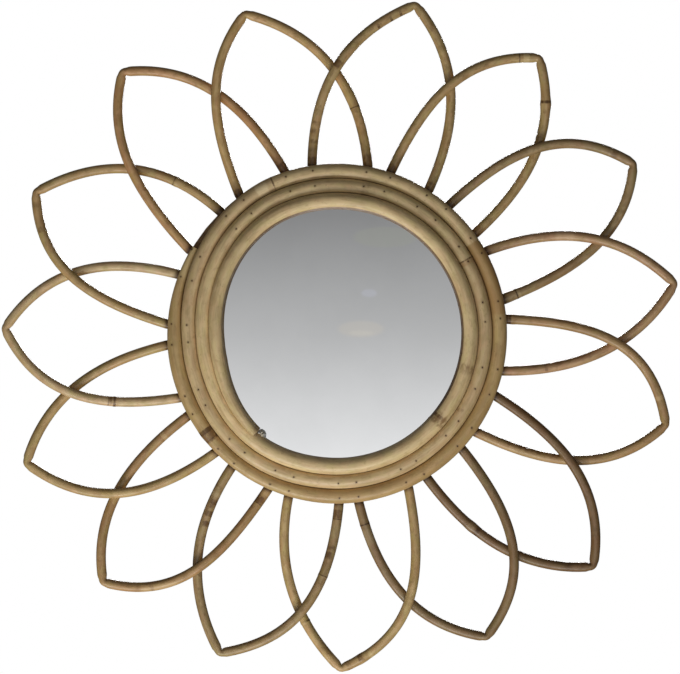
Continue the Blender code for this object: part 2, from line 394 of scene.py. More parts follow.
@dataclass(frozen=True)
class NailFinish:
    """Dark, slightly rusted steel."""

    steel: Rgb = (66, 50, 40)
    rust: Rgb = (92, 56, 34)

    def material(self, name: str) -> bpy.types.Material:
        """Make the nails' material."""
        nodes = Nodes(bpy.data.materials.new(name))
        nodes.shader.inputs["Metallic"].default_value = 0.6
        spots = nodes.noise(nodes.stretch(nodes.object_coordinates(), (900.0, 900.0, 900.0)), 3.0)
        color = nodes.blend(nodes.remap(spots, 0.4, 0.6), linear(self.steel), linear(self.rust))
        nodes.link(color, nodes.shader.inputs["Base Color"])
        nodes.link(nodes.remap(spots, 0.3, 0.7, 0.45, 0.75), nodes.shader.inputs["Roughness"])
        return nodes.material


@dataclass(frozen=True)
class GlueFinish:
    """Dried milky glue."""

    milk: Rgb = (238, 237, 230)
    amber: Rgb = (204, 194, 170)

    def material(self, name: str) -> bpy.types.Material:
        """Make the glue's material."""
        nodes = Nodes(bpy.data.materials.new(name))
        nodes.shader.inputs["Subsurface Weight"].default_value = 0.25
        nodes.shader.inputs["Subsurface Radius"].default_value = (0.002, 0.0016, 0.001)
        clouds = nodes.noise(nodes.stretch(nodes.object_coordinates(), (420.0, 420.0, 420.0)), 3.0)
        color = nodes.blend(nodes.remap(clouds, 0.4, 0.62), linear(self.amber), linear(self.milk))
        nodes.link(color, nodes.shader.inputs["Base Color"])
        nodes.link(nodes.remap(clouds, 0.3, 0.7, 0.18, 0.42), nodes.shader.inputs["Roughness"])
        nodes.bump(clouds, 0.0004, 0.15)
        return nodes.material


@dataclass(frozen=True)
class Station:
    """One place along a cane: its centre, its half width across the mirror and its depth radius."""

    centre: Vector
    width: float
    depth: float


@dataclass
class Cane:
    """One cane as a fine closed tube, with its skin's coordinates and marks on the mesh.

    Args:
        name: the piece's name.
        stations: places along the cane, from its first end to its last.
        finish: the cane's skin.
        tones: the skin's colour at each station, as linear values.
        sides: faces round the cane.
        marks: marks along it.
        ridges: raised node rings along it.
        seed: offset of the skin's pattern, so that no two canes are alike.
        uneven: how far the thickness wanders, as a share.
        painted_shade_and_stain: how dark a place on the skin is made, 0 to 1, from the place and the station's
            number. This covers painted shade in crevices and along edges, and real stains.
    """

    name: str
    stations: list[Station]
    finish: CaneFinish
    tones: list[Rgb]
    sides: int
    marks: list[Mark] = field(default_factory=list)
    ridges: list[Ridge] = field(default_factory=list)
    seed: float = 0.0
    uneven: float = 0.025
    painted_shade_and_stain: Optional[Callable[[Vector, int], float]] = None

    def lengths(self) -> list[float]:
        """Distance of each station along the cane."""
        run = [0.0]
        for a, b in zip(self.stations, self.stations[1:]):
            run.append(run[-1] + (b.centre - a.centre).length)
        return run

    def frame_at(self, index: int) -> tuple[Vector, Vector]:
        """The directions across and out of the mirror's plane, square to the cane."""
        ahead = self.stations[min(index + 1, len(self.stations) - 1)].centre
        behind = self.stations[max(index - 1, 0)].centre
        along = (ahead - behind).normalized()
        side = along.cross(Y_AXIS).normalized()
        return side, side.cross(along)

    def build(self) -> bpy.types.Object:
        """Make the tube from a grid that is wrapped round the stations and welded.

        Returns:
            The cane's object, with its material.
        """
        mesh = bmesh.new()
        cane = mesh.verts.layers.float_vector.new("cane")
        marks = mesh.verts.layers.float_color.new("marks")
        shade_and_stain_layer = mesh.verts.layers.float.new("painted_shade_and_stain")
        tones = mesh.verts.layers.float_color.new("tone")
        mesh.loops.layers.uv.new("cane_uv")
        count = len(self.stations)
        bmesh.ops.create_grid(mesh, x_segments=count - 1, y_segments=self.sides, size=0.5, calc_uvs=True)
        run = self.lengths()
        frames = [self.frame_at(i) for i in range(count)]
        for vert in mesh.verts:
            i = round((vert.co.x + 0.5) * (count - 1))
            angle = 2.0 * math.pi * round((vert.co.y + 0.5) * self.sides) / self.sides + math.pi / 2.0
            along = run[i]
            station = self.stations[i]
            side, out = frames[i]
            wander = Vector((along * 28.0 + self.seed, math.cos(angle) * 0.5, math.sin(angle) * 0.5))
            swell = 1.0 + self.uneven * noise.noise(wander)
            lift = sum(ridge.lift(along) for ridge in self.ridges)
            across = side * (-math.cos(angle) * (station.width * swell + lift))
            outward = out * (-math.sin(angle) * (station.depth * swell + lift))
            vert.co = station.centre + across + outward
            mean = 0.5 * (station.width + station.depth)
            vert[cane] = (along + self.seed, math.cos(angle) * mean, math.sin(angle) * mean + self.seed)
            levels = [0.0, 0.0, 0.0, 0.0]
            for mark in self.marks:
                if abs(along - mark.at) < mark.half:
                    channel = mark.kind.value
                    levels[channel] = max(levels[channel], mark.level(along, angle))
            vert[marks] = levels
            # The painted shade and stains at this place.
            vert[shade_and_stain_layer] = self.painted_shade_and_stain(vert.co, i) if self.painted_shade_and_stain else 0.0
            vert[tones] = (*self.tones[i], 1.0)
        bmesh.ops.remove_doubles(mesh, verts=mesh.verts[:], dist=1e-6)
        for face in mesh.faces:
            face.smooth = True
        rims = [edge for edge in mesh.edges if edge.is_boundary]
        caps = bmesh.ops.holes_fill(mesh, edges=rims, sides=0)["faces"]
        for cap in caps:
            cap.smooth = False
            for edge in cap.edges:
                edge.smooth = False
        bmesh.ops.recalc_face_normals(mesh, faces=mesh.faces[:])
        return finish_piece(self.name, mesh, self.finish.material(self.name))


def finish_piece(name: str, mesh: bmesh.types.BMesh, material: bpy.types.Material) -> bpy.types.Object:
    """Make the object of a finished mesh.

    Args:
        name: the object's name.
        mesh: its mesh, which is freed.
        material: its material.

    Returns:
        The object, at the origin.
    """
    data = bpy.data.meshes.new(name)
    mesh.to_mesh(data)
    mesh.free()
    data.materials.append(material)
    piece = bpy.data.objects.new(name, data)
    bpy.context.scene.collection.objects.link(piece)
    return piece


@dataclass
class Coil:
    """The thick cane round the glass, wound clockwise from its inner end in nested turns."""

    radii: tuple[float, ...] = (0.1060, 0.11695, 0.1300, 0.1433)
    cane_r: tuple[float, ...] = (0.0060, 0.00705, 0.0067, 0.0069)
    inner_end: float = 231.0
    outer_end: float = 149.0
    step_from: float = 184.0
    step_to: float = 116.0
    inner_taper: float = 38.0
    inner_end_r: float = 0.0040
    inner_end_out: float = 0.0045
    inner_end_forward: float = 0.0022
    outer_taper: float = 36.0
    outer_end_r: float = 0.0028
    outer_end_inward: float = 0.0008
    press_at: float = 232.0
    press_half: float = 36.0
    press_out: float = 0.0018
    root_depth: float = 0.0065
    petal_cane_r: float = 0.0043
    gap: float = 0.0003
    spacing_deg: float = 0.56
    sides: int = 40
    inner_turns_deg: float = 520.0
    # Painted shade: the strip along the coil's inner edge on the side facing the glass (edge_*), and the crevices
    # between the turns (crevice_fade).
    edge_dark_deg: float = 140.0
    edge_open: float = 0.72
    edge_ease: float = 0.30
    crevice_fade: float = 0.00075
    nail_stain: float = 0.62
    nail_stain_from: float = 0.0008
    nail_stain_fade: float = 0.0009
    joined: tuple[tuple[int, float, Tone], ...] = (
        (0, 231.0, Tone.WHEAT), (2, 30.0, Tone.PALE), (3, 113.0, Tone.WHEAT), (3, 34.0, Tone.SAND))

    def __post_init__(self) -> None:
        """Work out the turns' depths and the coil's length."""
        self.length = self.inner_end - self.outer_end + 360.0 * (len(self.radii) - 1)
        depths = [self.root_depth + self.petal_cane_r + self.gap + self.cane_r[-1]]
        for i in range(len(self.radii) - 2, -1, -1):
            reach = self.cane_r[i] + self.cane_r[i + 1] + self.gap
            across = self.radii[i + 1] - self.radii[i]
            depths.insert(0, depths[0] + math.sqrt(max(reach * reach - across * across, 0.0)))
        self.depths = depths

    def at(self, along: float) -> Station:
        """The cane this many degrees along the coil from its inner end."""
        level = 0.0
        for turn in range(len(self.radii) - 1):
            start = self.inner_end - self.step_from + 360.0 * turn
            level += step((along - start) / (self.step_from - self.step_to))
        low = min(int(level), len(self.radii) - 2)
        share = level - low
        radius = mix(self.radii[low], self.radii[low + 1], share)
        depth = mix(self.depths[low], self.depths[low + 1], share)
        cane_r = mix(self.cane_r[low], self.cane_r[low + 1], share)
        inner = 1.0 - min(along / self.inner_taper, 1.0)
        cane_r = mix(cane_r, self.inner_end_r, inner)
        radius += self.inner_end_out * inner
        depth += self.inner_end_forward * inner
        degrees = self.inner_end - along
        away = abs((degrees - self.press_at + 180.0) % 360.0 - 180.0)
        press = self.press_out * smooth(1.0 - away / self.press_half)
        squeezed = 0.5 * press * max(level - (len(self.radii) - 2), 0.0)
        outer = 1.0 - min((self.length - along) / self.outer_taper, 1.0)
        shaved = squeezed + (cane_r - self.outer_end_r) * outer
        radius += press - 2.0 * squeezed + shaved - self.outer_end_inward * outer
        return Station(polar(radius, degrees, depth - shaved), cane_r - shaved, cane_r - shaved)

    def painted_shade_and_stain(self, place: Vector, along: float) -> float:
        """Painted shade on the skin: darker in the crevices between the turns, and in a strip on the inner turns'
        side facing the glass that fades out towards the bottom.

        Args:
            place: the place on the skin.
            along: degrees along the coil there.

        Returns:
            0 in the open, up to 1 where it touches.
        """
        level = 0.0
        own = self.at(along)
        # Painted shade: a dark strip on the inner side towards the glass. There is none at the bottom, and it is
        # weaker near the inner end.
        if along < self.inner_turns_deg and flat(place) < flat(own.centre):
            high = smooth((place.z / place.length + 0.9) / 0.5)
            low = smooth((self.edge_open - (own.centre.y - place.y) / own.depth) / self.edge_ease)
            level = high * low * mix(0.3, 1.0, smooth(along / self.edge_dark_deg))
        # Painted shade where the neighbouring turns close in.
        for other in (along - 360.0, along + 360.0):
            if 0.0 <= other <= self.length:
                cane = self.at(other)
                apart = max((place - cane.centre).length - cane.width, 0.0)
                level = max(level, math.exp(-apart / self.crevice_fade))
        return level

    def tone_at(self, along: float) -> Rgb:
        """The skin's colour this many degrees along the coil, one for each length of cane between joints."""
        begun = [tone for turn, degrees, tone in self.joined if self.along_of(turn, degrees) <= along + 1e-6]
        return linear(begun[-1].value)

    def along_of(self, turn: int, degrees: float) -> float:
        """Degrees along the coil at a bearing, on the turn of that number from the inner end.

        Turn 0 starts at the inner end, and each turn ends where the step out is half done.
        """
        middle = (self.step_from + self.step_to) / 2.0
        wound = (middle - degrees) % 360.0
        return self.inner_end - middle + wound + 360.0 * (turn - 1)

    def build(self, nails: list[Vector]) -> bpy.types.Object:
        """Make the coil with its joints, nodes and stains.

        Args:
            nails: places of the nails on it.

        Returns:
            The coil's object.
        """
        count = round(self.length / self.spacing_deg)
        stations = [self.at(self.length * i / count) for i in range(count + 1)]
        run = [0.0]
        for a, b in zip(stations, stations[1:]):
            run.append(run[-1] + (b.centre - a.centre).length)

        def place(turn: int, degrees: float) -> float:
            """Metres along the cane at a bearing on a turn."""
            index = self.along_of(turn, degrees) / self.length * count
            return run[min(max(round(index), 0), count)]

        marks = [
            Mark(MarkKind.NODE, place(3, 217.0), 0.0030, 1.0, fade=0.35),
            Mark(MarkKind.STAIN, place(3, 218.9), 0.0058, 0.95, fade=0.25),
            Mark(MarkKind.NODE, place(3, 220.3), 0.0012, 0.7),
            Mark(MarkKind.NODE, place(3, 113.0), 0.0012, 0.8, 130.0),
            Mark(MarkKind.PALE, place(3, 118.0), 0.0065, 0.8, fade=0.3),
            Mark(MarkKind.RED, place(3, 20.0), 0.0360, 0.7, fade=0.12),
            Mark(MarkKind.RED, place(3, 300.0), 0.1300, 0.35, fade=0.2),
            Mark(MarkKind.NODE, place(2, 30.0), 0.0009, 0.8),
            Mark(MarkKind.RED, place(2, 29.0), 0.0032, 0.6),
            Mark(MarkKind.STAIN, place(2, 79.0), 0.0058, 0.40, fade=0.7),
            Mark(MarkKind.STAIN, place(1, 320.0), 0.0095, 0.80, 60.0, 0.8),
            Mark(MarkKind.NODE, place(1, 321.2), 0.0020, 0.8, 10.0),
            Mark(MarkKind.STAIN, place(1, 344.5), 0.0080, 0.55, 120.0, 0.8),
            Mark(MarkKind.STAIN, place(2, 328.5), 0.0036, 0.7, 0.0, 0.8),
            Mark(MarkKind.STAIN, 0.0, 0.0120, 0.55, fade=1.0),
            Mark(MarkKind.PALE, run[-1] - 0.010, 0.0260, 1.0),
        ]
        ridges = [
            Ridge(place(3, 217.6), 0.00045, 0.0052),
            Ridge(place(3, 113.0), 0.00015, 0.0012),
            Ridge(place(2, 30.0), 0.00015, 0.0012),
            Ridge(place(1, 318.0), 0.00020, 0.0014),
        ]
        finish = CaneFinish(mottle=0.28, blush=0.10, patches=0.40)
        tones = [self.tone_at(self.length * i / count) for i in range(count + 1)]
        holes = KDTree(len(nails))
        for i, nail in enumerate(nails):
            holes.insert(nail, i)
        holes.balance()

        def painted_shade_and_stain(place: Vector, index: int) -> float:
            """The coil's painted shade at a station's number, with real stains round every nail."""
            away = max(holes.find(place)[2] - self.nail_stain_from, 0.0)
            halo = self.nail_stain * math.exp(-away / self.nail_stain_fade)
            return max(self.painted_shade_and_stain(place, self.length * index / count), halo)

        return Cane("coiled_ring_cane", stations, finish, tones, self.sides, marks, ridges,
                    seed=3.1, uneven=0.012, painted_shade_and_stain=painted_shade_and_stain).build()


@dataclass(frozen=True)
class Petal:
    """One petal: its tip's bearing, its length, its two legs and its skin.

    Args:
        tip_deg: bearing of the tip.
        length: length against the common one.
        left_deg: the left leg's swing off the tip's bearing at the shoulder, waist and root.
        right_deg: the same for the right leg.
        tone: the skin's tone.
        marks: marks as (kind, leg side, radius in photo steps, half length in them, strength, side of the cane),
            where side 0 faces the petal's inside, 90 the front and 180 the petal's outside.
        nodes: raised nodes as (leg side, radius in photo steps, height, half length).
        mottle: how strong the brown mottling is.
    """

    tip_deg: float
    length: float
    left_deg: tuple[float, float, float]
    right_deg: tuple[float, float, float]
    tone: Tone
    marks: tuple = ()
    nodes: tuple = ()
    mottle: float = 0.5


LEFT = 1
RIGHT = -1
NODE = MarkKind.NODE
STAIN = MarkKind.STAIN
PALE = MarkKind.PALE
RED = MarkKind.RED


@dataclass
class Petals:
    """The thinner canes, each folded at its tip, with both ends nailed under the coil."""

    cane_r: float = 0.0043
    fold_half_w: float = 0.0035
    fold_inner_r: float = 0.0003
    behind_depth: float = 0.0050
    root_depth: float = 0.0065
    tip_radius: float = 0.3030
    shoulder_radius: float = 0.2578
    waist_radius: float = 0.2045
    root_radius: float = 0.1511
    end_radius: float = 0.1285
    under_coil_swing: float = 0.1
    gap: float = 0.0003
    # Painted shade at the roots beside the coil, where the coil shades them, with some real stain there too.
    root_dark: float = 0.8
    root_dark_fade: float = 0.0035
    leg_rings: int = 200
    fold_rings: int = 13
    sides: int = 28
    rows: tuple[Petal, ...] = (
        Petal(106.2, 0.983, (7.9, 14.4, 19.1), (10.6, 20.1, 26.5), Tone.HONEY,
              ((STAIN, LEFT, 172, 5, 0.6, None), (PALE, LEFT, 290, 40, 0.35, 60.0), (STAIN, RIGHT, 176, 7, 0.7, None),
               (NODE, RIGHT, 227, 1.2, 0.9, None), (STAIN, RIGHT, 224, 4, 0.35, None)),
              ((RIGHT, 227, 0.0002, 0.002), (RIGHT, 238, 0.0003, 0.010))),
        Petal(76.8, 0.998, (9.7, 17.4, 21.8), (8.8, 15.4, 19.2), Tone.SAND,
              ((STAIN, LEFT, 174, 6, 0.9, None), (STAIN, LEFT, 186, 3, 0.5, 120.0), (STAIN, LEFT, 194, 3, 0.55, 60.0),
               (STAIN, LEFT, 203, 3, 0.5, 120.0), (STAIN, LEFT, 211, 3, 0.5, 60.0), (STAIN, LEFT, 222, 4, 0.3, None),
               (STAIN, LEFT, 268, 5, 1.0, 150.0), (NODE, LEFT, 310, 2, 0.6, 0.0), (NODE, LEFT, 320, 2, 0.6, 0.0),
               (NODE, LEFT, 327, 2, 0.6, 0.0), (PALE, LEFT, 258, 8, 0.4, 60.0), (STAIN, RIGHT, 174, 6, 0.7, None),
               (STAIN, RIGHT, 288, 5, 0.45, 30.0), (STAIN, RIGHT, 303, 5, 0.45, 30.0),
               (STAIN, RIGHT, 320, 6, 0.45, 30.0)),
              ((LEFT, 282, 0.0003, 0.010),), 0.6),
        Petal(53.9, 1.009, (9.7, 15.0, 17.9), (8.9, 14.7, 17.8), Tone.SAND,
              ((STAIN, LEFT, 173, 7, 1.0, None), (PALE, LEFT, 334, 4, 0.8, None), (NODE, LEFT, 330, 1.2, 0.7, None),
               (STAIN, LEFT, 285, 8, 0.35, 60.0), (STAIN, LEFT, 306, 7, 0.35, 120.0), (RED, RIGHT, 174, 7, 0.8, None),
               (STAIN, RIGHT, 279, 7, 0.55, None), (NODE, RIGHT, 311, 1.8, 0.85, None),
               (RED, RIGHT, 320, 10, 0.5, None)),
              ((RIGHT, 310, 0.0007, 0.0050),), 0.7),
        Petal(30.0, 1.009, (10.8, 16.3, 19.0), (9.2, 14.6, 18.1), Tone.STRAW,
              ((STAIN, LEFT, 172, 4, 0.85, None), (STAIN, LEFT, 329, 7, 0.45, 60.0), (PALE, LEFT, 327, 2, 0.7, 90.0),
               (NODE, RIGHT, 183.5, 1.2, 0.9, None), (PALE, RIGHT, 186, 2.5, 0.7, None),
               (RED, RIGHT, 230, 30, 0.4, None),
               (STAIN, RIGHT, 295, 25, 0.4, 20.0)),
              ((RIGHT, 172, 0.0005, 0.009), (RIGHT, 183.5, 0.0002, 0.0015))),
        Petal(8.6, 1.007, (9.4, 16.4, 20.5), (9.1, 16.2, 21.1), Tone.ROSY,
              ((PALE, LEFT, 247, 13, 0.6, 60.0), (STAIN, RIGHT, 225, 50, 0.35, 0.0),
               (PALE, RIGHT, 225, 50, 0.3, 160.0),
               (STAIN, RIGHT, 212, 2, 0.6, 60.0)), ()),
        Petal(344.7, 1.008, (12.1, 17.5, 20.3), (10.1, 16.1, 19.9), Tone.TAN,
              ((NODE, LEFT, 173, 1.5, 0.8, None), (PALE, LEFT, 186, 11, 0.4, None), (PALE, LEFT, 328, 3, 0.7, None),
               (STAIN, RIGHT, 235, 60, 0.5, 0.0), (PALE, RIGHT, 235, 60, 0.5, 170.0)), ((LEFT, 176, 0.0002, 0.002),)),
        Petal(317.9, 1.021, (10.6, 16.7, 20.8), (8.1, 13.2, 15.8), Tone.UMBER,
              ((RED, LEFT, 205, 35, 0.6, None), (STAIN, LEFT, 320, 14, 0.3, None), (RED, RIGHT, 200, 28, 0.5, None),
               (PALE, RIGHT, 200, 28, 0.5, 90.0), (PALE, RIGHT, 234, 4.5, 1.0, None),
               (STAIN, RIGHT, 242, 3, 0.7, None),
               (STAIN, RIGHT, 326, 12, 0.4, None)), ((RIGHT, 235, 0.0005, 0.005),)),
        Petal(296.4, 0.999, (11.2, 17.5, 21.0), (9.4, 15.7, 18.9), Tone.DUN,
              ((RED, LEFT, 290, 40, 0.35, None), (RED, RIGHT, 180, 11, 0.5, None), (PALE, RIGHT, 181, 11, 0.4, None),
               (NODE, RIGHT, 192.5, 1.2, 1.0, None), (PALE, RIGHT, 205, 11, 0.7, 90.0)),
              ((RIGHT, 192, 0.0002, 0.002),)),
        Petal(270.8, 0.990, (12.2, 19.3, 24.2), (6.9, 13.7, 17.2), Tone.SAND,
              ((STAIN, LEFT, 325, 4, 1.0, 30.0), (STAIN, LEFT, 331, 4, 0.5, None), (PALE, LEFT, 320, 3, 0.5, 120.0),
               (NODE, RIGHT, 289.5, 1.3, 0.9, 0.0), (STAIN, RIGHT, 315, 12, 0.5, 10.0)),
              ((RIGHT, 289.5, 0.0003, 0.0011), (LEFT, 325, 0.0004, 0.005)), 0.5),
        Petal(250.0, 1.005, (11.3, 17.7, 20.8), (8.4, 14.9, 18.1), Tone.STRAW,
              ((STAIN, LEFT, 180, 6, 1.0, 50.0), (NODE, LEFT, 185.5, 1.0, 0.9, None),
               (STAIN, LEFT, 214, 3, 0.7, 50.0),
               (STAIN, LEFT, 221.5, 5, 1.0, 20.0), (NODE, LEFT, 241.5, 1.0, 0.9, None),
               (PALE, LEFT, 198, 9, 0.4, 90.0),
               (PALE, RIGHT, 201, 3, 0.8, None), (STAIN, RIGHT, 208, 4, 1.0, 30.0), (STAIN, RIGHT, 213, 3, 0.7, 40.0),
               (STAIN, RIGHT, 221, 4, 1.0, 20.0), (STAIN, RIGHT, 231, 4, 1.0, 20.0)),
              ((LEFT, 242, 0.0002, 0.0016),), 0.7),
        Petal(226.9, 1.008, (10.5, 15.8, 19.3), (8.7, 14.4, 17.9), Tone.TAN,
              ((PALE, LEFT, 174, 4, 0.7, 120.0), (STAIN, LEFT, 183, 5.5, 1.0, 50.0),
               (NODE, LEFT, 187, 1.2, 0.7, 90.0),
               (PALE, LEFT, 307, 24, 1.0, 175.0), (STAIN, LEFT, 312, 3, 0.4, 130.0), (PALE, RIGHT, 201, 3, 0.9, 90.0),
               (PALE, RIGHT, 192, 3, 0.4, 90.0), (STAIN, RIGHT, 334, 4, 0.5, 0.0)), ()),
        Petal(202.8, 0.994, (10.4, 17.7, 21.7), (8.2, 14.7, 18.8), Tone.SAND,
              ((STAIN, LEFT, 322, 3, 0.4, 30.0),), (), 0.25),
        Petal(179.3, 0.982, (10.5, 18.0, 23.0), (9.2, 16.2, 19.6), Tone.PALE,
              ((NODE, LEFT, 232, 1.5, 1.0, None), (STAIN, LEFT, 235.5, 2.6, 0.8, 40.0),
               (NODE, LEFT, 237.6, 0.7, 0.7, None),
               (PALE, LEFT, 226, 3, 0.5, 120.0)), ((LEFT, 232, 0.0003, 0.0016),), 0.35),
        Petal(155.0, 0.983, (10.2, 17.1, 21.9), (9.1, 17.4, 21.1), Tone.SAND,
              ((RED, LEFT, 235, 50, 0.35, 60.0), (STAIN, LEFT, 312, 4, 0.5, 70.0), (STAIN, LEFT, 326, 4, 0.4, 110.0),
               (NODE, RIGHT, 222.5, 1.0, 0.8, None), (RED, RIGHT, 234, 12, 0.6, None)),
              ((RIGHT, 221, 0.0003, 0.002),)),
        Petal(129.5, 0.999, (8.6, 15.3, 21.0), (9.8, 16.8, 21.5), Tone.BISCUIT,
              ((STAIN, RIGHT, 175, 6, 0.9, None), (RED, RIGHT, 228, 30, 0.4, None)), ()),
    )

    def curve(self, petal: Petal, side: int, apex: Vector) -> Callable[[float], Vector]:
        """Plan curve of one leg from the apex to the root, as a function of 0 to 1."""
        spread = petal.left_deg if side > 0 else petal.right_deg
        chord = polar(self.root_radius, petal.tip_deg + side * spread[2]) - apex
        across = Y_AXIS.cross(chord)
        rows = []
        for radius, angle in ((self.shoulder_radius, spread[0]), (self.waist_radius, spread[1])):
            off = polar(radius, petal.tip_deg + side * angle) - apex
            s = off.dot(chord) / chord.length_squared
            rows.append((s, off.dot(across) / chord.length_squared / (s * (1.0 - s))))
        (s1, bow1), (s2, bow2) = rows

        def point(s: float) -> Vector:
            """The leg's place at a share of its length."""
            bow = bow1 * (bow2 / bow1) ** ((s - s1) / (s2 - s1))
            return apex + chord * s + across * (s * (1.0 - s) * bow)

        return point

    def even(self, curve: Callable[[float], Vector], skip: float) -> list[Vector]:
        """Evenly spaced points down a leg, leaving out the length next to the fold."""
        fine = [curve(i / 400.0) for i in range(401)]
        run = [0.0]
        for a, b in zip(fine, fine[1:]):
            run.append(run[-1] + (b - a).length)
        points = []
        i = 0
        for k in range(self.leg_rings):
            target = mix(skip, run[-1], k / (self.leg_rings - 1.0))
            while i < 399 and run[i + 1] < target:
                i += 1
            points.append(fine[i].lerp(fine[i + 1], (target - run[i]) / (run[i + 1] - run[i])))
        return points

    def plan(self, petal: Petal) -> tuple[list[Vector], list[Vector], list[Vector]]:
        """Points in plan of the left leg, the fold and the right leg."""
        fold_r = self.fold_half_w + self.fold_inner_r
        tip_radius = self.tip_radius * petal.length - self.fold_half_w
        apex = polar(tip_radius, petal.tip_deg)
        for _ in range(3):
            ways = [(self.curve(petal, side, apex)(0.02) - apex).normalized() for side in (LEFT, RIGHT)]
            half = ways[0].angle(ways[1]) / 2.0
            apex = polar(tip_radius + fold_r * (1.0 / math.sin(half) - 1.0), petal.tip_deg)
        curves = [self.curve(petal, side, apex) for side in (LEFT, RIGHT)]
        ways = [(curve(0.02) - apex).normalized() for curve in curves]
        half = ways[0].angle(ways[1]) / 2.0
        middle = apex + (ways[0] + ways[1]).normalized() * (fold_r / math.sin(half))
        legs = [self.even(curve, fold_r / math.tan(half)) for curve in curves]
        starts = [points[0] - middle for points in legs]
        fold = []
        for k in range(1, self.fold_rings + 1):
            arm = starts[0].normalized().slerp(starts[1].normalized(), k / (self.fold_rings + 1.0))
            fold.append(middle + arm * fold_r)
        for points, side in zip(legs, (LEFT, RIGHT)):
            spread = petal.left_deg if side > 0 else petal.right_deg
            end = petal.tip_deg + side * (spread[2] + self.under_coil_swing * (spread[2] - spread[1]))
            last = polar(self.end_radius, end)
            root = points[-1]
            for k in range(1, 9):
                points.append(root.lerp(last, k / 8.0))
        return legs[0], fold, legs[1]

    @staticmethod
    def crossing(leg_a: list[Vector], leg_b: list[Vector]) -> float:
        """How far from the middle two legs cross, in plan."""
        best = 0.0
        for a, b in zip(leg_a, leg_a[1:]):
            for c, d in zip(leg_b, leg_b[1:]):
                run_a, run_b, off = b - a, d - c, c - a
                area = run_a.x * run_b.z - run_a.z * run_b.x
                if abs(area) < 1e-12:
                    continue
                s = (off.x * run_b.z - off.z * run_b.x) / area
                t = (off.x * run_a.z - off.z * run_a.x) / area
                if -0.01 <= s <= 1.01 and -0.01 <= t <= 1.01:
                    best = max(best, (a + run_a * s).length)
        return best

    def depth(self, radius: float, crossing: float, cross_depth: float, tip_depth: float, tip_radius: float) -> float:
        """Centre depth of a leg: level under the coil, past its crossing, and on to the tip."""
        if radius < crossing:
            share = smooth((radius - self.root_radius) / (crossing - self.root_radius))
            return mix(self.root_depth, cross_depth, share)
        return mix(cross_depth, tip_depth, smooth((radius - crossing) / (tip_radius - crossing)))

    def build(self) -> list[bpy.types.Object]:
        """Make every petal's cane."""
        plans = [self.plan(petal) for petal in self.rows]
        front_depth = self.behind_depth + 2.0 * self.cane_r + self.gap
        tip_depth = (self.behind_depth + front_depth) / 2.0
        crossings = [self.crossing(plan[0], plans[i - 1][2]) for i, plan in enumerate(plans)]
        pieces = []
        for i, (petal, (left, fold, right)) in enumerate(zip(self.rows, plans)):
            tip_radius = left[0].length
            placed = [(point, crossings[i], front_depth) for point in reversed(left)]
            placed += [(point, tip_radius / 2.0, tip_depth) for point in fold]
            placed += [(point, crossings[(i + 1) % len(plans)], self.behind_depth) for point in right]
            stations = []
            for k, (point, crossing, cross_depth) in enumerate(placed):
                depth = self.depth(point.length, crossing, cross_depth, tip_depth, tip_radius)
                near = max(abs(k - len(left) - 0.5 * len(fold)) - 0.5 * len(fold), 0.0)
                width = mix(self.fold_half_w, self.cane_r, smooth(near / 5.0))
                stations.append(Station(point - Y_AXIS * depth, width, self.cane_r))
            pieces.append(self.cane(i, petal, stations, len(left), len(fold)))
        return pieces

    def cane(self, index: int, petal: Petal, stations: list[Station], left: int, fold: int) -> bpy.types.Object:
        """Make one petal's cane with its marks at their places."""
        run = [0.0]
        for a, b in zip(stations, stations[1:]):
            run.append(run[-1] + (b.centre - a.centre).length)

        def place(side: int, steps: float) -> float:
            """Metres along the cane at a radius on one leg."""
            span = range(0, left) if side == LEFT else range(left + fold, len(stations))
            return run[min(span, key=lambda k: abs(flat(stations[k].centre) - steps * PHOTO_STEP))]

        marks = [Mark(kind, place(side, steps), half * PHOTO_STEP, strength, around)
                 for kind, side, steps, half, strength, around in petal.marks]
        ridges = [Ridge(place(side, steps), height, half) for side, steps, height, half in petal.nodes]
        finish = CaneFinish(petal.mottle)
        tones = [linear(petal.tone.value)] * len(stations)
        name = "petal_%02d_cane" % (index + 1)

        def painted_shade_and_stain(place: Vector, _: int) -> float:
            """Painted shade beside the coil, where it shades the roots, with some real stain there. There is none
            further out.
            """
            return self.root_dark * math.exp(-max(flat(place) - self.root_radius, 0.0) / self.root_dark_fade)

        return Cane(name, stations, finish, tones, self.sides, marks, ridges,
                    seed=0.61 * index + 0.17, painted_shade_and_stain=painted_shade_and_stain).build()

    def root_bearings(self) -> list[float]:
        """Bearing of every leg where it goes under the coil."""
        angles = []
        for petal in self.rows:
            angles.append(petal.tip_deg + petal.left_deg[2])
            angles.append(petal.tip_deg - petal.right_deg[2])
        return angles


@dataclass(frozen=True)
class Nail:
    """One nail: its place on the coil's skin and the way out of it."""

    place: Vector
    normal: Vector


